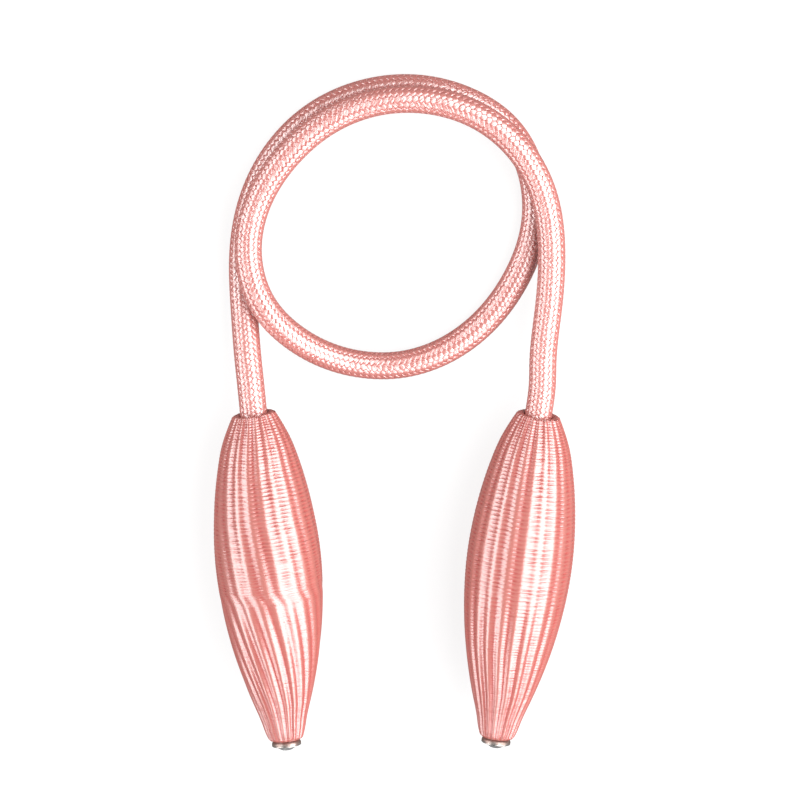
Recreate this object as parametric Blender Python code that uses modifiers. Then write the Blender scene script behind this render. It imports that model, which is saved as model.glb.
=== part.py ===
"""A bendable curtain tieback, lying flat: a braided satin rope over a soft wire, bent into a loop and a half.

Each end of the rope goes into a spindle-shaped bobbin, which is wound in satin yarn over lengthwise ribs and
closed at its foot by a small metal cup with a cut stone in it.
Metres, +Z up. The tieback rests on z = 0, and the origin is under the middle of its two bobbins.
"""
from math import cos, pi, radians, sin

import bmesh
import bpy
import numpy as np
from mathutils import Euler, Matrix, Vector

MM = 0.001
SEAT_GAP = 0.3 * MM                 # clearance that every two neighbouring pieces keep

# Rope
ROPE_DIAMETER = 6.8 * MM
ROPE_BEVEL = 4                      # bevel resolution
ROPE_SIDES = 2 * ROPE_BEVEL + 4
ROPE_POINTS = 64                    # about one every diameter, because the loop is tight
ROPE_LEAD = 7.0 * MM                # straight stretch out of each bobbin

# Bobbins
BOBBIN_LENGTH = 83.7 * MM
MOUTH_RADIUS = 4.0 * MM             # flat ring round the rope
FOOT_RADIUS = 3.6 * MM              # flat ring behind the metal cup
RIB_COUNT = 22
RIB_STEPS = 4                       # points across one rib
RIB_RELIEF = 0.034                  # crest to groove, as a share of the radius
BELLY_RINGS = 20
FLAT_SPOT = 0.55 * MM               # how far the winding is pressed in where it lies on the surface
PRESS_SIZE = (300 * MM, 300 * MM, 20 * MM)      # the slab that stands for the surface there

# Distance from the mouth and radius over the rib crests, in millimetres
BELLY = [
    (2.0, 6.2),
    (7.2, 8.6),
    (12.3, 10.1),
    (17.4, 11.25),
    (22.6, 12.15),
    (29.0, 12.9),
    (36.7, 13.3),
    (44.0, 13.1),
    (50.8, 12.45),
    (58.5, 11.25),
    (66.2, 9.5),
    (73.9, 7.25),
    (79.0, 5.65),
    (82.0, 4.85),
    (83.2, 4.4),
]
SHOULDER = (0.5 * MM, 5.1 * MM)     # rounded edge of the mouth: distance and radius

# Each bobbin: where its mouth is (x, y), which way it points on the surface (degrees from -Y towards +X),
# how far its rope end is tipped down (degrees), where its first rib stands (degrees from the top towards +X),
# and how its ribs drift round it, as (millimetres from the mouth, degrees)
BOBBINS = {
    "left": {
        "mouth": (-35.2 * MM, 42.9 * MM),
        "lean": 5.4,
        "tip": 4.0,
        "first_rib": 5.0,
        "drift": [(0, 0), (14, -3), (26, -1), (38, 6.5), (44, 10), (48, 18), (61, 29), (74, 40), (83.7, 43)],
    },
    "right": {
        "mouth": (35.9 * MM, 42.9 * MM),
        "lean": -7.0,
        "tip": 2.0,
        "first_rib": 1.5,
        "drift": [(0, 0), (60, 0), (72, 3), (83.7, 0)],
    },
}

# Metal cup and stone on each foot
CUP_RADIUS = 3.7 * MM
CUP_HEIGHT = 1.2 * MM
CUP_EDGE = 0.25 * MM
CUP_SEGMENTS = 32
STONE_RADIUS = 2.75 * MM
STONE_HEIGHT = 1.2 * MM
STONE_TABLE_RADIUS = 1.1 * MM
STONE_FACETS = 12
STONE_SINK = 0.1 * MM               # how far the stone sits below the cup's rim

# The rope's route between its two straight leads, in millimetres: from the right bobbin up and over the top
# on the upper turn, down across the left lead, round the bottom, and over the top again on the lower turn
ROUTE = [
    (36.9, 56.2, 10.95),
    (38.2, 69.4, 10.6),
    (38.9, 82.6, 10.5),
    (37.3, 95.9, 10.5),
    (31.6, 107.9, 10.5),
    (21.8, 116.7, 10.5),
    (9.3, 121.1, 10.5),
    (-3.8, 120.9, 10.5),
    (-16.1, 116.2, 10.5),
    (-26.2, 107.7, 10.5),
    (-33.4, 96.7, 10.5),
    (-36.2, 83.9, 11.0),
    (-33.1, 71.2, 11.2),
    (-24.9, 61.4, 8.2),
    (-13.9, 55.1, 4.6),
    (-0.9, 53.3, 3.28),
    (11.7, 56.7, 3.28),
    (22.5, 64.6, 3.28),
    (30.2, 75.3, 3.28),
    (34.6, 87.7, 3.28),
    (34.2, 101.1, 3.28),
    (28.3, 112.9, 3.28),
    (17.3, 120.4, 3.28),
    (4.4, 123.3, 3.28),
    (-8.6, 121.7, 3.28),
    (-20.4, 116.0, 3.28),
    (-29.7, 106.5, 3.28),
    (-35.5, 94.7, 3.28),
    (-37.8, 81.7, 3.8),
    (-37.5, 68.6, 5.8),
    (-36.5, 55.9, 8.7),
]
LYING_HEIGHT = ROPE_DIAMETER / 2 * cos(pi / ROPE_SIDES)     # the rope's middle where a side lies flat


def start_scene():
    """Empty the scene and give it one collection for the parts and one for the cutter."""
    for thing in list(bpy.data.objects):
        bpy.data.objects.remove(thing, do_unlink=True)
    collections = {}
    for name in ("curtain_tieback", "cutters"):
        collections[name] = bpy.data.collections.new(name)
        bpy.context.scene.collection.children.link(collections[name])
    return collections["curtain_tieback"], collections["cutters"]


def make_material(name, colour, roughness, metallic=0.0, sheen=0.0):
    """A Principled material of one finish."""
    material = bpy.data.materials.new(name)
    material.use_nodes = True
    shader = material.node_tree.nodes["Principled BSDF"]
    shader.inputs["Base Color"].default_value = (*colour, 1.0)
    shader.inputs["Roughness"].default_value = roughness
    shader.inputs["Metallic"].default_value = metallic
    shader.inputs["Sheen Weight"].default_value = sheen
    return material


def smooth_curve(knots, count):
    """Points spaced evenly along the natural cubic spline through the knots."""
    knots = np.array(knots, dtype=float)
    last = len(knots) - 1
    at = np.concatenate([[0.0], np.cumsum(np.linalg.norm(np.diff(knots, axis=0), axis=1))])
    gap = np.diff(at)
    matrix = np.eye(last + 1)
    pull = np.zeros_like(knots)
    for i in range(1, last):
        matrix[i, i - 1:i + 2] = gap[i - 1], 2 * (gap[i - 1] + gap[i]), gap[i]
        pull[i] = 6 * ((knots[i + 1] - knots[i]) / gap[i] - (knots[i] - knots[i - 1]) / gap[i - 1])
    bend = np.linalg.solve(matrix, pull)
    fine = np.linspace(0.0, at[-1], 40 * last)
    span = np.clip(np.searchsorted(at, fine, side="right") - 1, 0, last - 1)
    width = gap[span][:, None]
    near = (at[span + 1] - fine)[:, None] / width
    far = 1 - near
    curve = near * knots[span] + far * knots[span + 1]
    curve += ((near**3 - near) * bend[span] + (far**3 - far) * bend[span + 1]) * width**2 / 6
    along = np.concatenate([[0.0], np.cumsum(np.linalg.norm(np.diff(curve, axis=0), axis=1))])
    even = np.linspace(0.0, along[-1], count)
    return np.column_stack([np.interp(even, along, column) for column in curve.T])


def bobbin_outline():
    """Distance from the mouth and radius of every ring of a bobbin, mouth to foot."""
    mouth = [(0.0, MOUTH_RADIUS), SHOULDER]
    belly = smooth_curve(BELLY, BELLY_RINGS) * MM
    foot = [(BOBBIN_LENGTH, FOOT_RADIUS)]
    return np.vstack([mouth, belly, foot])


def bobbin_place(spec):
    """Where a bobbin lies: its mouth at its origin, its length along its own -Y, its belly on the surface."""
    tip = radians(spec["tip"])
    height = max(radius * cos(tip) - distance * sin(tip) for distance, radius in bobbin_outline()) - FLAT_SPOT
    place = Matrix.Translation((*spec["mouth"], height))
    return place @ Euler((-tip, 0.0, radians(spec["lean"]))).to_matrix().to_4x4()


def groove_depth(share):
    """How deep the surface lies, 0 on a crest to 1 in a groove, at a share of the way to the next crest."""
    return 1 - abs(cos(pi * share))


def ring_points(distance, radius, turn, relief):
    """One ring of a bobbin, its points going round with the ribs."""
    points = []
    for step in range(RIB_COUNT * RIB_STEPS):
        angle = turn + 2 * pi * step / (RIB_COUNT * RIB_STEPS)
        reach = radius * (1 - relief * groove_depth(step % RIB_STEPS / RIB_STEPS))
        points.append(Vector((reach * sin(angle), -distance, reach * cos(angle))))
    return points


def loft(name, rings):
    """A closed mesh through rings of equally many points, capped at both ends."""
    bm = bmesh.new()
    loops = [[bm.verts.new(point) for point in ring] for ring in rings]
    for ring, following in zip(loops, loops[1:]):
        for i in range(len(ring)):
            j = (i + 1) % len(ring)
            bm.faces.new((ring[i], ring[j], following[j], following[i]))
    bm.faces.new(loops[0])
    bm.faces.new(loops[-1])
    bmesh.ops.recalc_face_normals(bm, faces=bm.faces)
    mesh = bpy.data.meshes.new(name)
    bm.to_mesh(mesh)
    bm.free()
    mesh.shade_smooth()
    mesh.set_sharp_from_angle(angle=radians(50))
    return mesh


def make_surface_cutter(collection):
    """The slab below the surface, which presses a flat spot into each bobbin."""
    bm = bmesh.new()
    bmesh.ops.create_cube(bm, size=1.0)
    mesh = bpy.data.meshes.new("surface_cutter")
    bm.to_mesh(mesh)
    bm.free()
    mesh.transform(Matrix.Diagonal((*PRESS_SIZE, 1.0)))
    cutter = bpy.data.objects.new("surface_cutter", mesh)
    cutter.location = (0.0, 0.0, -PRESS_SIZE[2] / 2)
    cutter.hide_render = True
    cutter.display_type = "WIRE"
    collection.objects.link(cutter)
    return cutter


def make_bobbin(side, spec, cutter, collection, material):
    """One wound bobbin: ribs lofted from mouth to foot, and the flat spot that it lies on."""
    outline = bobbin_outline()
    stations, degrees = np.array(spec["drift"], dtype=float).T
    rings = []
    for index, (distance, radius) in enumerate(outline):
        turn = radians(spec["first_rib"] + np.interp(distance / MM, stations, degrees))
        is_end = index in (0, len(outline) - 1)
        rings.append(ring_points(distance, radius, turn, 0.0 if is_end else RIB_RELIEF))
    bobbin = bpy.data.objects.new(f"bobbin_{side}", loft(f"bobbin_{side}", rings))
    bobbin.data.materials.append(material)
    bobbin.matrix_world = bobbin_place(spec)
    press = bobbin.modifiers.new("flat_spot", "BOOLEAN")
    press.operation = "DIFFERENCE"
    press.solver = "EXACT"
    press.object = cutter
    collection.objects.link(bobbin)
    return bobbin


def make_turned(name, profile, material, collection):
    """A piece turned about its own Z from a profile of (radius, height), which runs from the top outwards."""
    bm = bmesh.new()
    verts = [bm.verts.new((radius, 0.0, height)) for radius, height in profile]
    for upper, lower in zip(verts, verts[1:]):
        bm.edges.new((upper, lower))
    mesh = bpy.data.meshes.new(name)
    bm.to_mesh(mesh)
    bm.free()
    mesh.materials.append(material)
    piece = bpy.data.objects.new(name, mesh)
    screw = piece.modifiers.new("turn", "SCREW")
    screw.steps = CUP_SEGMENTS
    screw.render_steps = CUP_SEGMENTS
    screw.use_merge_vertices = True
    screw.merge_threshold = 0.01 * MM
    screw.use_smooth_shade = False
    collection.objects.link(piece)
    return piece


def make_cup(side, bobbin, collection, material):
    """The metal cup on a bobbin's foot, with a shallow seat for the stone."""
    seat = CUP_HEIGHT - STONE_SINK - SEAT_GAP
    seat_radius = STONE_RADIUS + SEAT_GAP
    profile = [
        (0.0, seat),
        (seat_radius, seat),
        (seat_radius, CUP_HEIGHT),
        (CUP_RADIUS - CUP_EDGE, CUP_HEIGHT),
        (CUP_RADIUS, CUP_HEIGHT - CUP_EDGE),
        (CUP_RADIUS, CUP_EDGE),
        (CUP_RADIUS - CUP_EDGE, 0.0),
        (0.0, 0.0),
    ]
    cup = make_turned(f"cup_{side}", profile, material, collection)
    cup.parent = bobbin
    cup.location = (0.0, -BOBBIN_LENGTH - SEAT_GAP, 0.0)
    cup.rotation_euler = (pi / 2, 0.0, 0.0)
    return cup


def make_stone(side, cup, collection, material):
    """The cut stone in the cup: flat facets round a small table."""
    bm = bmesh.new()
    bmesh.ops.create_cone(
        bm,
        cap_ends=True,
        segments=STONE_FACETS,
        radius1=STONE_RADIUS,
        radius2=STONE_TABLE_RADIUS,
        depth=STONE_HEIGHT,
    )
    mesh = bpy.data.meshes.new(f"stone_{side}")
    bm.to_mesh(mesh)
    bm.free()
    mesh.materials.append(material)
    stone = bpy.data.objects.new(f"stone_{side}", mesh)
    stone.parent = cup
    stone.location = (0.0, 0.0, CUP_HEIGHT - STONE_SINK + STONE_HEIGHT / 2)
    collection.objects.link(stone)
    return stone


def rope_lead(place):
    """A rope's end at a bobbin's mouth, and the point where its straight lead out of the mouth ends."""
    return [(place @ Vector((0.0, out, 0.0))) / MM for out in (SEAT_GAP, ROPE_LEAD)]


def make_rope(collection, material):
    """The rope, from mouth to mouth along its route, one of its sides turned down where it lies."""
    first = rope_lead(bobbin_place(BOBBINS["right"]))
    last = rope_lead(bobbin_place(BOBBINS["left"]))
    points = smooth_curve([*first, *ROUTE, *reversed(last)], ROPE_POINTS) * MM
    points[:, 2] = np.maximum(points[:, 2], LYING_HEIGHT)
    curve = bpy.data.curves.new("rope", "CURVE")
    curve.dimensions = "3D"
    curve.twist_mode = "Z_UP"
    curve.bevel_depth = ROPE_DIAMETER / 2
    curve.bevel_resolution = ROPE_BEVEL
    curve.use_fill_caps = True
    spline = curve.splines.new("POLY")
    spline.points.add(ROPE_POINTS - 1)
    for spot, point in zip(spline.points, points):
        spot.co = (*point, 1.0)
        spot.tilt = pi / ROPE_SIDES
    curve.materials.append(material)
    rope = bpy.data.objects.new("rope", curve)
    collection.objects.link(rope)
    return rope


def main():
    parts, cutters = start_scene()
    braid = make_material("satin_braid", (0.86, 0.42, 0.38), 0.45, sheen=0.3)
    yarn = make_material("satin_yarn", (0.84, 0.38, 0.35), 0.4, sheen=0.3)
    steel = make_material("bright_steel", (0.62, 0.58, 0.56), 0.25, metallic=1.0)
    glass = make_material("cut_stone", (0.86, 0.87, 0.88), 0.1, metallic=0.3)
    cutter = make_surface_cutter(cutters)
    make_rope(parts, braid)
    for side, spec in BOBBINS.items():
        bobbin = make_bobbin(side, spec, cutter, parts, yarn)
        cup = make_cup(side, bobbin, parts, steel)
        make_stone(side, cup, parts, glass)


main()
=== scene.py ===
from math import cos, pi, radians, sin

import bmesh
import bpy
import numpy as np
from mathutils import Euler, Matrix, Vector


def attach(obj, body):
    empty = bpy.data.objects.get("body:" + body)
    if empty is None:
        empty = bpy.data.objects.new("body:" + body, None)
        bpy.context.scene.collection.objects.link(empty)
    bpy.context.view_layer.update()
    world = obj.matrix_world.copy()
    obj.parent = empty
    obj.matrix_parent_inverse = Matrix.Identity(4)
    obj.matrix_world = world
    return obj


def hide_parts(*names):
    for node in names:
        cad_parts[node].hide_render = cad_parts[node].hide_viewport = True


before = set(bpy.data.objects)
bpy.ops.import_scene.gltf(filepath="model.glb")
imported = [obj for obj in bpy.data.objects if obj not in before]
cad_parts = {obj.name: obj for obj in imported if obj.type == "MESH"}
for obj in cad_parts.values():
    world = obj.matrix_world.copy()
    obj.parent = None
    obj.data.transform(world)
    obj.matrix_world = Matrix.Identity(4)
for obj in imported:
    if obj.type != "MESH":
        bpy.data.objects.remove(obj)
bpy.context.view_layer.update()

MM = 0.001
scene = bpy.context.scene

# ---------------------------------------------------------------------------------------------------------
# The camera looks down on the tieback with a long lens, from a little beyond the top of its loop.

LOOK_TILT = radians(12.0)                       # from straight down towards +Y
LOOK_AT = Vector((1.35, 45.25, 7.0)) * MM       # what lies at the middle of the picture
LOOK_FROM = 1.1                                 # metres
LENS, SENSOR = 198.0, 36.0                      # millimetres

towards_camera = Vector((0.0, sin(LOOK_TILT), cos(LOOK_TILT)))
camera = bpy.data.objects.new("camera", bpy.data.cameras.new("camera"))
camera.data.lens = LENS
camera.data.sensor_width = SENSOR
camera.location = LOOK_AT + towards_camera * LOOK_FROM
camera.rotation_euler = (-LOOK_TILT, 0.0, 0.0)
scene.collection.objects.link(camera)
scene.camera = camera
scene.view_settings.view_transform = "Standard"

# ---------------------------------------------------------------------------------------------------------
# Two spindle-shaped bobbins, each a light core with 22 lengthwise ribs. Satin yarn is wound over the ribs
# in close turns, from a rounded mouth down to the foot, and its turns get finer past the belly.

BOBBIN_LENGTH = 83.7 * MM
RIB_COUNT = 22
RIB_STEPS = 7                                   # points across one rib, the first of them in a groove
FLAT_SPOT = 0.55 * MM                           # how far the winding is pressed in where it lies
# Distance from the mouth and radius over the rib crests, in millimetres
BELLY = [
    (2.0, 6.35), (7.2, 8.6), (12.3, 10.1), (17.4, 11.25), (22.6, 12.15), (29.0, 12.9), (36.7, 13.3),
    (44.0, 13.1), (50.8, 12.45), (58.5, 11.25), (66.2, 9.5), (73.9, 7.25), (79.0, 5.65), (82.0, 4.85),
    (83.2, 4.4),
]
BELLY_POINTS = 200
# The mouth, from the end of its hole round the rope out to the first turn: (distance, radius) in millimetres
MOUTH = [(3.0, 3.45), (0.9, 3.5), (0.3, 3.65), (0.0, 4.15), (0.0, 4.9), (0.3, 5.5)]
FOOT = [(83.5, 4.1), (83.7, 3.6)]
# Each bobbin: where its mouth is (x, y). In degrees, how far it leans from -Y towards +X, how far its mouth
# end is tipped down, and where its first rib stands. How far its mouth is drawn back at most (millimetres)
# and on which side (degrees). Then, by millimetres from the mouth, how its ribs drift round it (degrees),
# and the pitch of its turns and the depth of the seams between them (millimetres).
BOBBINS = {
    "left": {
        "mouth": (-35.2 * MM, 42.9 * MM),
        "lean": 5.4,
        "tip": 4.0,
        "drawn_back": (0.75, -50),
        "first_rib": 5.0,
        "drift": [(0, 0), (14, -3), (26, -1), (38, 6), (44, 9.5), (47, 17), (61, 29), (74, 40), (83.7, 43)],
        "pitch": [
            (0, 0.62), (6, 0.78), (13, 0.84), (18, 0.99), (31, 0.97), (36, 0.84), (43, 0.7), (46, 0.5),
            (85, 0.46),
        ],
        "relief": [(0, 0.12), (8, 0.16), (18, 0.2), (33, 0.19), (43, 0.11), (47, 0.04), (85, 0.035)],
        "seed": 3,
    },
    "right": {
        "mouth": (35.9 * MM, 42.9 * MM),
        "lean": -7.0,
        "tip": 2.0,
        "drawn_back": (0.75, 20),
        "first_rib": 1.5,
        "drift": [(0, 0), (60, 0), (72, 3), (83.7, 0)],
        "pitch": [
            (0, 0.64), (8, 0.8), (13, 0.86), (18, 1.04), (46, 1.03), (51, 0.88), (56, 0.72), (64, 0.7),
            (70, 0.58), (85, 0.52),
        ],
        "relief": [(0, 0.12), (8, 0.16), (18, 0.21), (44, 0.19), (52, 0.1), (60, 0.06), (85, 0.04)],
        "seed": 8,
    },
}
# Crest to groove of the ribs, as a share of the radius, by millimetres from the mouth
RIB_RELIEF = [(0, 0.05), (6, 0.03), (20, 0.014), (44, 0.014), (52, 0.031), (70, 0.053), (83.7, 0.07)]
GROOVE_SHARPNESS = 1.3
MOUTH_RIBS = (0.0, 0.0, 0.3, 0.8)               # how much of the ribs the first rings of the mouth show
MOUTH_REACH = 10.0                              # millimetres from the mouth to where its slant has faded
FINE_TURN = 0.65                                # millimetres: below this a turn is fine
TURN_RINGS, FINE_TURN_RINGS = 6, 4
TURN_FULLNESS = 0.75                            # below 1, a turn's back is broader and its seam narrower
SEAM_ON_CREST, SEAM_IN_GROOVE = 0.4, 1.4        # the seams' depth on a rib, and what a groove adds to it
SHADE_ON_CREST, SHADE_IN_GROOVE = 0.2, 0.7      # the same for the painted shade (deeper colour) in the seams
GROOVE_SHADE = 7.0                              # how strongly painted shade deepens the colour in the ribs' own grooves
WANDER = 0.1                                    # how far a turn strays, as a share of its pitch
UNEVEN = 0.25                                   # how much the turns' height varies
LEAST_HEIGHT = 0.02 * MM                        # above the floor, where the winding is pressed flat
CURVE_STEPS = 40                                # points to a knot while a curve is measured


def smooth_curve(knots, count):
    """Points spaced evenly along the natural cubic spline through the knots."""
    knots = np.array(knots, dtype=float)
    last = len(knots) - 1
    at = np.concatenate([[0.0], np.cumsum(np.linalg.norm(np.diff(knots, axis=0), axis=1))])
    gap = np.diff(at)
    matrix = np.eye(last + 1)
    pull = np.zeros_like(knots)
    for i in range(1, last):
        matrix[i, i - 1:i + 2] = gap[i - 1], 2 * (gap[i - 1] + gap[i]), gap[i]
        pull[i] = 6 * ((knots[i + 1] - knots[i]) / gap[i] - (knots[i] - knots[i - 1]) / gap[i - 1])
    bend = np.linalg.solve(matrix, pull)
    fine = np.linspace(0.0, at[-1], CURVE_STEPS * last)
    span = np.clip(np.searchsorted(at, fine, side="right") - 1, 0, last - 1)
    width = gap[span][:, None]
    near = (at[span + 1] - fine)[:, None] / width
    far = 1 - near
    curve = near * knots[span] + far * knots[span + 1]
    curve += ((near**3 - near) * bend[span] + (far**3 - far) * bend[span + 1]) * width**2 / 6
    along = np.concatenate([[0.0], np.cumsum(np.linalg.norm(np.diff(curve, axis=0), axis=1))])
    even = np.linspace(0.0, along[-1], count)
    return np.column_stack([np.interp(even, along, column) for column in curve.T])


belly_at, belly_radius = smooth_curve(BELLY, BELLY_POINTS).T


def bobbin_place(spec):
    """Where a bobbin lies: its mouth at its origin, its length along its own -Y, its belly on the floor."""
    tip = radians(spec["tip"])
    height = np.max(belly_radius * cos(tip) - belly_at * sin(tip)) * MM - FLAT_SPOT
    place = Matrix.Translation((*spec["mouth"], height))
    return place @ Euler((-tip, 0.0, radians(spec["lean"]))).to_matrix().to_4x4()


def carried(points, place):
    """Points given in a bobbin's own frame, carried to where the bobbin lies."""
    matrix = np.array(place)
    return points @ matrix[:3, :3].T + matrix[:3, 3]


def table(rows, at):
    """Values at the given distances, from a table of (distance, value)."""
    stations, values = np.array(rows, dtype=float).T
    return np.interp(at, stations, values)


def unit(vectors):
    """The directions of vectors, each of length 1."""
    return vectors / np.maximum(np.linalg.norm(vectors, axis=-1, keepdims=True), 1e-12)


def tube_mesh(name, tubes, **attributes):
    """A mesh of closed tubes, each an array of rings of equally many points, with values kept at its points.

    Attributes are lists of arrays, one array for each tube, with a number or a vector for every point.
    """
    faces, start = [], 0
    for rings in tubes:
        count, around = rings.shape[:2]
        index = np.arange(start, start + count * around).reshape(count, around)
        beside = np.roll(index, -1, axis=1)
        faces += np.stack([index[:-1], beside[:-1], beside[1:], index[1:]], axis=-1).reshape(-1, 4).tolist()
        faces += [index[0][::-1].tolist(), index[-1].tolist()]
        start += count * around
    points = np.concatenate([rings.reshape(-1, 3) for rings in tubes])
    mesh = bpy.data.meshes.new(name)
    mesh.from_pydata(points.tolist(), [], faces)
    for key, values in attributes.items():
        width = 3 if values[0].ndim == 3 else 1
        kind = mesh.attributes.new(key, "FLOAT_VECTOR" if width == 3 else "FLOAT", "POINT")
        flat = np.concatenate([v.reshape(-1, width) for v in values]).astype(np.float32).ravel()
        kind.data.foreach_set("vector" if width == 3 else "value", flat)
    mesh.shade_smooth()
    mesh.update()
    piece = bpy.data.objects.new(name, mesh)
    scene.collection.objects.link(piece)
    return piece


def wind_bobbin(side, spec):
    """One bobbin's winding as a single skin, whose rings follow the turns of yarn over the ribs."""
    rng = np.random.default_rng(spec["seed"])
    seams = [MOUTH[-1][0]]
    while seams[-1] < BELLY[-1][0]:
        seams.append(seams[-1] + table(spec["pitch"], seams[-1]))
    seams = np.array(seams) * (BELLY[-1][0] / seams[-1])
    around = RIB_COUNT * RIB_STEPS
    rib_share = np.arange(around) / RIB_STEPS
    rib, between = np.floor(rib_share).astype(int), rib_share % 1.0
    blend = (1 - np.cos(pi * between)) / 2

    def by_rib(rows, size):
        """Uneven values for each row, which change gently from rib to rib."""
        values = rng.normal(0.0, size, (rows, RIB_COUNT))
        return values[:, rib] * (1 - blend) + values[:, (rib + 1) % RIB_COUNT] * blend

    pitches = np.gradient(seams)[:, None]
    strays = by_rib(len(seams), WANDER) * pitches
    heights = 1 + by_rib(len(seams), UNEVEN)
    distances, lifts, starts = [], [], []

    def plain_rings(rows):
        """The rings of the mouth or the foot, which carry no turns."""
        for distance, _ in rows:
            distances.append(np.full(around, distance))
            lifts.append(np.zeros(around))
            starts.append(True)

    plain_rings(MOUTH)
    for k in range(len(seams) - 1):
        steps = TURN_RINGS if pitches[k, 0] > FINE_TURN else FINE_TURN_RINGS
        for step in range(steps):
            share = step / steps
            at = (seams[k] + strays[k]) * (1 - share) + (seams[k + 1] + strays[k + 1]) * share
            distances.append(at)
            lifts.append((sin(pi * share) ** TURN_FULLNESS - 1) * heights[k])
            starts.append(step == 0)
    plain_rings(FOOT)
    distances, lifts = np.array(distances), np.array(lifts)
    profile = np.array([MOUTH[-1], *zip(belly_at, belly_radius), *FOOT])
    radii = np.interp(distances, profile[:, 0], profile[:, 1])
    radii[:len(MOUTH)] = np.array(MOUTH)[:, 1:]
    groove = ((1 + np.cos(2 * pi * between)) / 2) ** GROOVE_SHARPNESS
    ribs = groove * table(RIB_RELIEF, distances)
    ribs[:len(MOUTH_RIBS)] *= np.array(MOUTH_RIBS)[:, None]
    ribs[-1] = 0.0
    way_round = 2 * pi * (rib_share - 0.5) / RIB_COUNT
    most, towards = spec["drawn_back"]
    drawn = most * (1 + np.cos(way_round - radians(towards))) / 2
    distances = distances + drawn * np.clip(1 - distances / MOUTH_REACH, 0, 1)
    angle = radians(spec["first_rib"]) + np.radians(table(spec["drift"], distances)) + way_round
    seam_depth = table(spec["relief"], distances) * (SEAM_ON_CREST + SEAM_IN_GROOVE * groove)
    reach = (radii * (1 - ribs) + lifts * seam_depth) * MM
    local = np.stack([reach * np.sin(angle), -distances * MM, reach * np.cos(angle)], axis=-1)
    rings = carried(local, bobbin_place(spec))
    rings[..., 2] = np.maximum(rings[..., 2], LEAST_HEIGHT)
    lay = unit(np.gradient(rings, axis=0))
    turn_number = np.broadcast_to(np.cumsum(starts)[:, None], angle.shape)
    thread = np.stack([angle * radii, distances, turn_number], axis=-1)
    # Painted shade: the colour deepens in the seams between turns and in the ribs' grooves, where shade
    # falls.
    depth = np.clip(-lifts, 0, 1) * (SHADE_ON_CREST + SHADE_IN_GROOVE * groove)
    depth = depth + groove * table(RIB_RELIEF, distances) * GROOVE_SHADE
    rings, lay, thread, depth = (values[:, ::-1] for values in (rings, lay, thread, depth))
    return tube_mesh(f"winding_{side}", [rings], lay=[lay], thread=[thread], depth=[depth])


class Shade:
    """A socket in a material. Sums on it add Math nodes, and add() makes any other node."""

    def __init__(self, tree, socket=None):
        self.tree = tree
        self.socket = socket

    def add(self, kind, settings, inputs, output=0):
        node = self.tree.nodes.new("ShaderNode" + kind)
        for key, value in settings.items():
            setattr(node, key, value)
        for key, value in inputs.items():
            if isinstance(value, Shade):
                self.tree.links.new(value.socket, node.inputs[key])
            else:
                node.inputs[key].default_value = value
        return Shade(self.tree, node.outputs[output])

    def sum(self, operation, first, second):
        return self.add("Math", {"operation": operation}, {0: first, 1: second})

    def __add__(self, other):
        return self.sum("ADD", self, other)

    def __radd__(self, other):
        return self.sum("ADD", other, self)

    def __sub__(self, other):
        return self.sum("SUBTRACT", self, other)

    def __rsub__(self, other):
        return self.sum("SUBTRACT", other, self)

    def __mul__(self, other):
        return self.sum("MULTIPLY", self, other)

    def __rmul__(self, other):
        return self.sum("MULTIPLY", other, self)


def new_finish(name, constants):
    """A material with one Principled shader, its constant sockets set, and a Shade to work with."""
    material = bpy.data.materials.new(name)
    material.use_nodes = True
    shader = material.node_tree.nodes["Principled BSDF"]
    for key, value in constants.items():
        shader.inputs[key].default_value = value
    return material, shader, Shade(material.node_tree)


def vary(shader, inputs):
    """Join what changes over a surface to the shader's sockets."""
    for key, value in inputs.items():
        value.tree.links.new(value.socket, shader.inputs[key])


# Grain of the yarn along it, across it and from turn to turn: of its filaments, and of its patches of tone
FILAMENTS = (0.35, 14.0, 3.7)
PATCHES = (0.12, 0.35, 0.8)
PAINTED_SHADE_SHARE, PATCH_SHARE, FILAMENT_SHARE = 0.9, 0.12, 0.1      # what the painted shade, the patches of tone and the filaments each do to the colour
FILAMENT_ROUGHNESS = 0.15


def satin_finish(name, crest, shade_colour, gloss, roughness, sheen_tilt):
    """Glossy satin yarn: filaments that spread the shine across their length, and painted shade, a deeper
    colour between turns.
    """
    material, shader, shade = new_finish(name, {"IOR": gloss, "Specular IOR Level": 0.9})
    thread = shade.add("Attribute", {"attribute_name": "thread"}, {}, "Vector")
    lay = shade.add("Attribute", {"attribute_name": "lay"}, {}, "Vector")
    depth = shade.add("Attribute", {"attribute_name": "depth"}, {}, "Fac")
    strands = shade.add("VectorMath", {"operation": "MULTIPLY"}, {0: thread, 1: FILAMENTS})
    filament = shade.add("TexNoise", {}, {"Vector": strands, "Scale": 1.0, "Detail": 2.0})
    patches = shade.add("VectorMath", {"operation": "MULTIPLY"}, {0: thread, 1: PATCHES})
    tone = shade.add("TexNoise", {}, {"Vector": patches, "Scale": 1.0, "Detail": 2.0})
    # Painted shade: the colour deepens from the crest colour towards the shade colour in seams, grooves and
    # under-crossings; the patches of tone and the filament grain are the yarn's own.
    shade_and_tone = depth * PAINTED_SHADE_SHARE + (tone - 0.5) * PATCH_SHARE + (filament - 0.5) * FILAMENT_SHARE
    colour = shade.add("Mix", {"data_type": "RGBA"}, {0: shade_and_tone, 6: (*crest, 1.0), 7: (*shade_colour, 1.0)}, 2)
    geometry = shade.add("NewGeometry", {}, {}, "Normal")
    lean = shade.add("VectorMath", {"operation": "SCALE"}, {0: lay, "Scale": (filament - 0.5) * sheen_tilt})
    tilted = shade.add("VectorMath", {"operation": "ADD"}, {0: geometry, 1: lean})
    normal = shade.add("VectorMath", {"operation": "NORMALIZE"}, {0: tilted})
    uneven = roughness + (filament - 0.5) * FILAMENT_ROUGHNESS
    vary(shader, {"Base Color": colour, "Roughness": uneven, "Normal": normal})
    return material


# The second colour is the painted shade of the seams and grooves.
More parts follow.
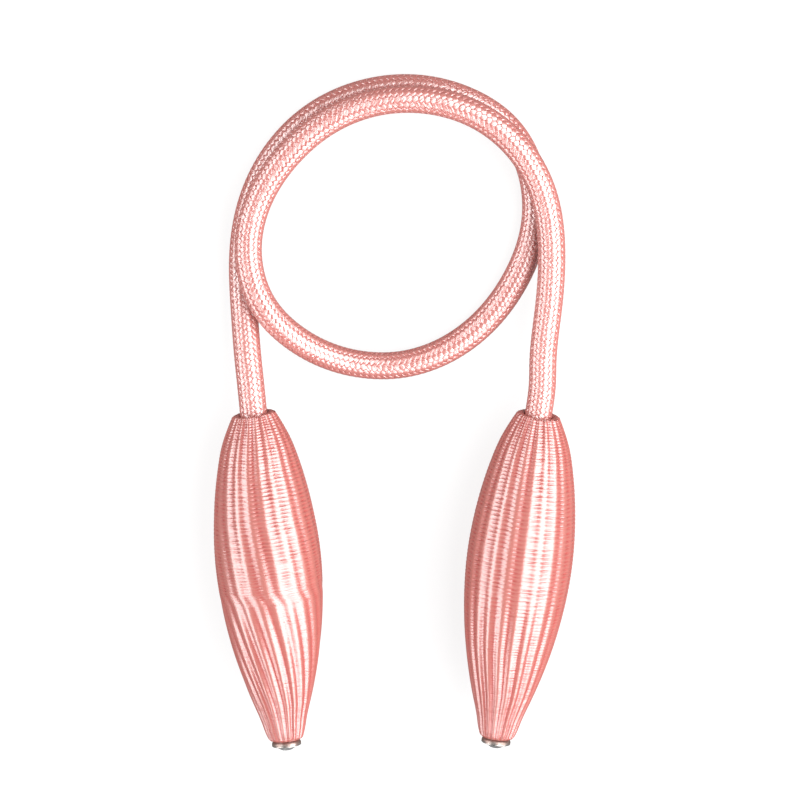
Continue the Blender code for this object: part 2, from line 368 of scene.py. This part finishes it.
yarn_finish = satin_finish(
    "wound_satin_yarn", crest=(0.435, 0.134, 0.11), shade_colour=(0.42, 0.036, 0.034), gloss=1.95, roughness=0.3,
    sheen_tilt=1.8,
)
for side, spec in BOBBINS.items():
    winding = wind_bobbin(side, spec)
    winding.data.materials.append(yarn_finish)
    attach(winding, "root")
    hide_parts(f"bobbin_{side}")

# ---------------------------------------------------------------------------------------------------------
# A small cup of pressed steel closes each foot. Its rim is rolled over the edge of the stone, and its back
# is glued over the last turns of yarn, so it has dulled a little where the glue and the dye reached it.

CUP_HEIGHT = 1.2 * MM
CUP_BACK_GAP = 0.3 * MM                         # from the end of the winding to the back of the cup
# From the middle of the back round the rolled rim to the middle of the seat: (radius, height) in millimetres
CUP_PROFILE = [
    (0.0, -0.25), (2.6, -0.25), (3.1, -0.12), (3.42, 0.08), (3.6, 0.3), (3.68, 0.55), (3.69, 0.72),
    (3.62, 0.78), (3.58, 0.84), (3.66, 0.9), (3.7, 1.0), (3.67, 1.11), (3.58, 1.18), (3.45, 1.2),
    (3.3, 1.19), (3.14, 1.13), (3.02, 1.02), (2.98, 0.9), (2.97, 0.78), (2.8, 0.72), (0.0, 0.72),
]
CUP_RINGS = 44
CUP_SEGMENTS = 96
DENTS = 0.03 * MM                               # how far the pressed wall strays from round
WORN_FROM, WORN_RATE = 0.5, 1.6                 # millimetres above the back, and the wear for each beyond
TARNISH = (0.3, 0.21, 0.18, 1.0)
BARE_STEEL = (0.74, 0.71, 0.68, 1.0)


def make_cup(side, place):
    """A cup on the foot of a bobbin, very slightly out of round. Worn marks its rolled edges."""
    rng = np.random.default_rng(len(side))
    profile = smooth_curve(CUP_PROFILE[1:-1], CUP_RINGS) * MM
    angles = 2 * pi * np.arange(CUP_SEGMENTS) / CUP_SEGMENTS
    wave = sum(np.cos(n * angles + rng.uniform(0, 2 * pi)) / n for n in (2, 3, 5, 7)) * DENTS
    radius = profile[:, :1] + wave[None, :] * np.clip(profile[:, 1:] / CUP_HEIGHT, 0, 1)
    along = np.broadcast_to(-BOBBIN_LENGTH - CUP_BACK_GAP - profile[:, 1:], radius.shape)
    rings = np.stack([radius * np.cos(angles), along, radius * np.sin(angles)], axis=-1)
    worn = np.clip((profile[:, 1] / MM - WORN_FROM) * WORN_RATE, 0, 1)[:, None] * np.ones(CUP_SEGMENTS)
    return tube_mesh(f"metal_cup_{side}", [carried(rings, place)], worn=[worn])


cup_finish, shader, shade = new_finish("dulled_steel", {"IOR": 2.5})
worn = shade.add("Attribute", {"attribute_name": "worn"}, {}, "Fac")
spot = shade.add("TexCoord", {}, {}, "Object")
stain = shade.add("TexNoise", {}, {"Vector": spot, "Scale": 900.0, "Detail": 4.0})
scratch = shade.add("TexNoise", {}, {"Vector": spot, "Scale": 5200.0, "Detail": 2.0})
bright = shade.sum("MINIMUM", shade.sum("MAXIMUM", worn * 0.8 + (stain - 0.5) * 1.4, 0.0), 1.0)
metal = shade.add("Mix", {"data_type": "RGBA"}, {0: bright, 6: TARNISH, 7: BARE_STEEL}, 2)
pits = shade.add("Bump", {}, {"Height": scratch, "Strength": 0.15, "Distance": 0.02 * MM})
vary(shader, {
    "Base Color": metal, "Metallic": 0.75 + bright * 0.25,
    "Roughness": 0.42 - bright * 0.2 + (scratch - 0.5) * 0.1, "Normal": pits,
})
for side, spec in BOBBINS.items():
    cup = make_cup(side, bobbin_place(spec))
    cup.data.materials.append(cup_finish)
    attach(cup, "root")
    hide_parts(f"cup_{side}")

# ---------------------------------------------------------------------------------------------------------
# A round cut stone of foiled glass sits in each cup. Kite facets run from the edge up to an eight-sided
# table, with small triangular facets between them, and the rolled rim holds it.

STONE_RADIUS = 2.75 * MM
STONE_HEIGHT = 1.2 * MM
STONE_SINK = 0.1 * MM                           # how far the stone's edge lies below the cup's rim
STONE_EDGE = 0.14 * MM                          # the straight band under the facets
STONE_TABLE = 1.3 * MM
STONE_SHOULDER = 2.15 * MM                      # where the small triangles meet
STONE_KITES = 8
STONE_TURN = {"left": 8.0, "right": 19.0}       # degrees
# Painted reflections: the greys between which the facets' colours are drawn.
DARK_REFLECTION = (0.32, 0.32, 0.34, 1.0)
BRIGHT_REFLECTION = (0.86, 0.85, 0.84, 1.0)


def make_stone(side, place):
    """A cut stone whose flat facets each carry a painted reflection, a grey of their own."""
    step = 2 * pi / STONE_KITES
    slope = (STONE_HEIGHT - STONE_EDGE) / (STONE_RADIUS - STONE_TABLE)
    shoulder_height = STONE_HEIGHT - (STONE_SHOULDER * cos(step / 2) - STONE_TABLE) * slope
    base = -BOBBIN_LENGTH - CUP_BACK_GAP - CUP_HEIGHT + STONE_SINK
    points, facets = [], []
    rows = [
        (STONE_RADIUS, 0.0, 0), (STONE_RADIUS, 0.0, 0.5),
        (STONE_RADIUS, STONE_EDGE, 0), (STONE_RADIUS, STONE_EDGE, 0.5),
        (STONE_SHOULDER, shoulder_height, 0.5), (STONE_TABLE, STONE_HEIGHT, 0),
    ]
    for radius, height, shift in rows:
        for k in range(STONE_KITES):
            angle = (k + shift) * step + radians(STONE_TURN[side])
            points.append(place @ Vector((radius * cos(angle), base - height, radius * sin(angle))))
    low, low_half, edge, half, shoulder, top = (
        range(n * STONE_KITES, (n + 1) * STONE_KITES) for n in range(len(rows))
    )
    for k in range(STONE_KITES):
        after, before = (k + 1) % STONE_KITES, (k - 1) % STONE_KITES
        facets += [
            (low[k], low_half[k], half[k], edge[k]), (low_half[k], low[after], edge[after], half[k]),
            (edge[k], half[k], shoulder[k]), (half[k], edge[after], shoulder[k]),
            (top[k], shoulder[before], edge[k], shoulder[k]), (top[k], shoulder[k], top[after]),
        ]
    facets += [tuple(top), tuple(reversed([p for pair in zip(low, low_half) for p in pair]))]
    mesh = bpy.data.meshes.new(f"cut_stone_{side}")
    mesh.from_pydata(points, [], facets)
    mesh.shade_flat()
    # Painted reflections: a random grey for each facet.
    facet_reflections = mesh.attributes.new("painted_facet_reflection", "FLOAT", "FACE")
    facet_reflections.data.foreach_set("value", np.random.default_rng(len(side)).random(len(facets)).astype(np.float32))
    bm = bmesh.new()
    bm.from_mesh(mesh)
    bmesh.ops.recalc_face_normals(bm, faces=bm.faces)
    bm.to_mesh(mesh)
    bm.free()
    stone = bpy.data.objects.new(f"cut_stone_{side}", mesh)
    scene.collection.objects.link(stone)
    return stone


stone_finish, shader, shade = new_finish("foiled_glass", {
    "Metallic": 0.7, "IOR": 1.6, "Coat Weight": 1.0, "Coat Roughness": 0.02, "Coat IOR": 1.6,
})
painted_facet_reflection = shade.add("Attribute", {"attribute_name": "painted_facet_reflection"}, {}, "Fac")
spot = shade.add("TexCoord", {}, {}, "Object")
cloud = shade.add("TexNoise", {}, {"Vector": spot, "Scale": 1400.0, "Detail": 3.0})
# Painted reflections: each facet's own grey, broken up by a cloudy noise, stands in for what the facets
# mirror.
tone = painted_facet_reflection * 0.8 + (cloud - 0.5) * 0.5
glass = shade.add("Mix", {"data_type": "RGBA"}, {0: tone, 6: DARK_REFLECTION, 7: BRIGHT_REFLECTION}, 2)
vary(shader, {"Base Color": glass, "Roughness": 0.1 + cloud * 0.1})
for side, spec in BOBBINS.items():
    stone = make_stone(side, bobbin_place(spec))
    stone.data.materials.append(stone_finish)
    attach(stone, "root")
    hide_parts(f"stone_{side}")

# ---------------------------------------------------------------------------------------------------------
# The rope: 24 flat satin yarns braided over a sleeve, two over and two under, so that the stitches stand in
# twelve columns that slant left and right by turns. A soft wire inside keeps the bend. Each end is pushed
# into a bobbin's mouth.

ROPE_RADIUS = 3.4 * MM
ROPE_LEAD = 7.0 * MM                            # straight stretch out of each bobbin
SEAT_GAP = 0.3 * MM                             # from a bobbin's mouth to where the rope comes into the open
ROPE_POINTS = 1200
TUCKED_IN = 2.4 * MM                            # how far an end reaches into its bobbin
YARNS_EACH_WAY = 12
STITCH = 1.44 * MM                              # along the rope, from one stitch to the next in a column
YARN_WIDTH = 1.44 * MM
YARN_NECK = 0.5                                 # how much narrower a yarn is drawn where it passes under
YARN_THICKNESS = 0.48 * MM
YARN_DIP = 0.6 * MM                             # how much lower a yarn runs where it passes under
STITCH_FLATNESS = 2.2                           # the higher, the flatter a stitch and the steeper its ends
UNDER_SHADE, EDGE_SHADE = 2.1, 0.1              # painted shade where a yarn passes under, and at its edges
GRAIN_STRETCH = 1.6                             # grain along a braided yarn against that along a wound one
YARN_GRAIN = 2.3                                # how far the grain moves on from yarn to yarn
# Rings of a stitch, from its middle, in crossings: it passes over two and under two, four to the repeat
STITCH_RINGS = (-0.95, -0.7, -0.35, 0.0, 0.35, 0.7, 0.95, 1.4, 2.6)
SLEEVE_RADIUS = 2.62 * MM
SLEEVE_RINGS, SLEEVE_SIDES = 420, 16
SLEEVE_SHADOW, SLEEVE_TONE = (0.36, 0.06, 0.055, 1.0), (0.6, 0.13, 0.12, 1.0)
COLUMNS_FACE = (0.0, sin(radians(12.0)), cos(radians(12.0)))        # the side from which columns are counted
COLUMN_TURN = (11.5, 0.155, 210.0)              # degrees, degrees a millimetre, and where along the rope
# A flattened yarn's section, as shares of its width and thickness
YARN_SECTION = [
    (0.5, -0.1), (0.49, 0.34), (0.42, 0.46), (0.15, 0.5), (-0.15, 0.5), (-0.42, 0.46), (-0.49, 0.34),
    (-0.5, -0.1),
]
# The middle of the rope from the right bobbin to the left one, in metres
ROUTE = [
    (0.0369, 0.0562, 0.01095), (0.0382, 0.0694, 0.0106), (0.0389, 0.0826, 0.0105), (0.0373, 0.0959, 0.0105),
    (0.0316, 0.1079, 0.0105), (0.0218, 0.1167, 0.0105), (0.0093, 0.1211, 0.0105), (-0.0038, 0.1209, 0.0105),
    (-0.0161, 0.1162, 0.0105), (-0.0262, 0.1077, 0.0105), (-0.0334, 0.0967, 0.0105),
    (-0.0362, 0.0839, 0.011), (-0.0331, 0.0712, 0.0112), (-0.0249, 0.0614, 0.0082),
    (-0.0139, 0.0551, 0.0046), (-0.0009, 0.0533, 0.00328), (0.0117, 0.0567, 0.00328),
    (0.0225, 0.0646, 0.00328), (0.0302, 0.0753, 0.00328), (0.0346, 0.0877, 0.00328),
    (0.0342, 0.1011, 0.00328), (0.0283, 0.1129, 0.00328), (0.0173, 0.1204, 0.00328),
    (0.0044, 0.1233, 0.00328), (-0.0086, 0.1217, 0.00328), (-0.0204, 0.116, 0.00328),
    (-0.0297, 0.1065, 0.00328), (-0.0355, 0.0947, 0.00328), (-0.0378, 0.0817, 0.0038),
    (-0.0375, 0.0686, 0.0058), (-0.0365, 0.0559, 0.0087),
]

leads = {}
for side, spec in BOBBINS.items():
    place = bobbin_place(spec)
    leads[side] = [tuple(place @ Vector((0.0, out, 0.0))) for out in (SEAT_GAP, ROPE_LEAD)]
line = smooth_curve([*leads["right"], *ROUTE, *reversed(leads["left"])], ROPE_POINTS)
line[:, 2] = np.maximum(line[:, 2], ROPE_RADIUS)
for end, inner in ((0, 1), (-1, -2)):
    tucked = line[end] - unit(line[inner] - line[end]) * TUCKED_IN
    line = np.vstack([tucked, line]) if end == 0 else np.vstack([line, tucked])
run = np.concatenate([[0.0], np.cumsum(np.linalg.norm(np.diff(line, axis=0), axis=1))])


def rope_frame(at):
    """The rope's middle at the given lengths, the side that its columns face there, and the left of it."""
    middle = np.column_stack([np.interp(at, run, column) for column in line.T])
    ahead = unit(np.gradient(middle, axis=0))
    left = unit(np.cross(COLUMNS_FACE, ahead))
    return middle, np.cross(ahead, left), left


def braid_yarn(number, way):
    """One yarn of the braid: its rings, shine directions, thread places and painted shade. Way is 1 or -1."""
    lead = STITCH * YARNS_EACH_WAY
    crossing = STITCH / 2
    start = 2 * number - (0.5 if way > 0 else 2.5)      # so that one way goes over where the other goes under
    repeats = np.arange(-YARNS_EACH_WAY, int(run[-1] / crossing / 4) + YARNS_EACH_WAY) * 4 * way
    at = np.sort(((repeats[:, None] + np.array(STITCH_RINGS) - start) * way * crossing).ravel())
    at = np.concatenate([[0.0], at[(at > 0) & (at < run[-1])], [run[-1]]])
    middle, up, left = rope_frame(at)
    base, twist, where = COLUMN_TURN
    column = np.radians(base + twist * (at / MM - where))
    around = way * 2 * pi * at / lead + 2 * pi * number / YARNS_EACH_WAY
    wave = np.cos(pi * (way * at / crossing + start) / 2)
    wave = np.tanh(STITCH_FLATNESS * wave) / np.tanh(STITCH_FLATNESS)
    under = (1 - wave) / 2
    outward = up * np.cos(around + column)[:, None] + left * np.sin(around + column)[:, None]
    radius = ROPE_RADIUS - YARN_THICKNESS / 2 - YARN_DIP * under
    spine = middle + outward * radius[:, None]
    forward = unit(np.gradient(spine, axis=0))
    across = unit(np.cross(forward, outward))
    lift = np.cross(across, forward)
    section = np.array(YARN_SECTION)
    width = YARN_WIDTH * (1 - YARN_NECK * under)
    rings = spine[:, None] + across[:, None] * (section[None, :, :1] * width[:, None, None])
    rings = rings + lift[:, None] * (section[:, 1:] * YARN_THICKNESS)
    shape = rings.shape[:2]
    lay = np.broadcast_to(across[:, None], rings.shape)
    length = np.broadcast_to((at / MM)[:, None] * GRAIN_STRETCH, shape)
    side = np.broadcast_to(section[:, 0] * YARN_WIDTH / MM, shape)
    thread = np.stack([length, side, np.full(shape, number * YARN_GRAIN + way)], axis=-1)
    # Painted shade: the colour deepens where a yarn dips under the others, and a little towards its edges.
    depth = under[:, None] * UNDER_SHADE + np.abs(section[:, 0])[None, :] * EDGE_SHADE
    return rings, lay, thread, depth


# The second colour is the painted shade where yarns pass under.
braid_finish = satin_finish(
    "braided_satin_yarn", crest=(0.51, 0.17, 0.145), shade_colour=(0.44, 0.028, 0.028), gloss=2.25, roughness=0.26,
    sheen_tilt=2.2,
)
half = YARNS_EACH_WAY // 2
for way, name in ((1, "left"), (-1, "right")):
    for part in (1, 2):
        yarns = [braid_yarn(number, way) for number in range((part - 1) * half, part * half)]
        rings, lay, thread, depth = (list(values) for values in zip(*yarns))
        piece = tube_mesh(f"braid_{name}_{part}", rings, lay=lay, thread=thread, depth=depth)
        piece.data.materials.append(braid_finish)
        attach(piece, "root")
        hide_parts("rope")

middle, up, left = rope_frame(np.linspace(0.0, run[-1], SLEEVE_RINGS))
angles = 2 * pi * np.arange(SLEEVE_SIDES) / SLEEVE_SIDES
sleeve_rings = middle[:, None] + SLEEVE_RADIUS * (
    up[:, None] * np.cos(angles)[None, :, None] + left[:, None] * np.sin(angles)[None, :, None]
)
sleeve = tube_mesh("rope_sleeve", [sleeve_rings])
sleeve_finish, shader, shade = new_finish("cotton_sleeve", {"Roughness": 0.9})
spot = shade.add("TexCoord", {}, {}, "Object")
knit = shade.add("TexNoise", {}, {"Vector": spot, "Scale": 2600.0, "Detail": 3.0})
cotton = shade.add("Mix", {"data_type": "RGBA"}, {0: knit, 6: SLEEVE_SHADOW, 7: SLEEVE_TONE}, 2)
nap = shade.add("Bump", {}, {"Height": knit, "Strength": 0.4, "Distance": 0.1 * MM})
vary(shader, {"Base Color": cotton, "Normal": nap})
sleeve.data.materials.append(sleeve_finish)
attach(sleeve, "root")
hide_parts("rope")

# ---------------------------------------------------------------------------------------------------------
# Floor and studio light: a pale floor that glows a little, so that it comes out white, a long soft box from
# the upper right and a weaker one low on the left, both along the bobbins.

FLOOR_HALF = 3.0                                # metres from its middle to its edge
FLOOR_DROP = 0.1 * MM

floor = bpy.data.objects.new("floor", bpy.data.meshes.new("floor"))
bm = bmesh.new()
bmesh.ops.create_grid(bm, x_segments=1, y_segments=1, size=FLOOR_HALF)
bm.to_mesh(floor.data)
bm.free()
floor.location = (0.0, 0.0, -FLOOR_DROP)
scene.collection.objects.link(floor)
floor_finish, shader, shade = new_finish("pale_floor", {
    "Base Color": (0.14, 0.14, 0.14, 1.0), "Roughness": 0.9, "Emission Color": (1.0, 1.0, 1.0, 1.0),
    "Emission Strength": 0.84,
})
floor.data.materials.append(floor_finish)
floor.visible_glossy = False                    # as if dark cards stood around, so the satin has deep edges


def soft_box(name, direction, distance, along, size, power):
    """A rectangular light that faces the tieback from the given direction, moved along Y. Sizes in metres."""
    light = bpy.data.lights.new(name, "AREA")
    light.shape = "RECTANGLE"
    light.size, light.size_y = size
    light.energy = power
    box = bpy.data.objects.new(name, light)
    towards = Vector(direction).normalized()
    box.location = LOOK_AT + towards * distance + Vector((0.0, along, 0.0))
    box.rotation_euler = towards.to_track_quat("Z", "Y").to_euler()
    scene.collection.objects.link(box)


soft_box("key", direction=(0.9, 0.0, 1.0), distance=0.7, along=-0.12, size=(1.65, 0.85), power=21.0)
soft_box("fill", direction=(-1.0, 0.0, 0.5), distance=0.7, along=-0.1, size=(1.5, 0.42), power=8.0)
world = bpy.data.worlds.new("studio")
world.use_nodes = True
world.node_tree.nodes["Background"].inputs["Color"].default_value = (1.0, 1.0, 1.0, 1.0)
world.node_tree.nodes["Background"].inputs["Strength"].default_value = 0.14
scene.world = world
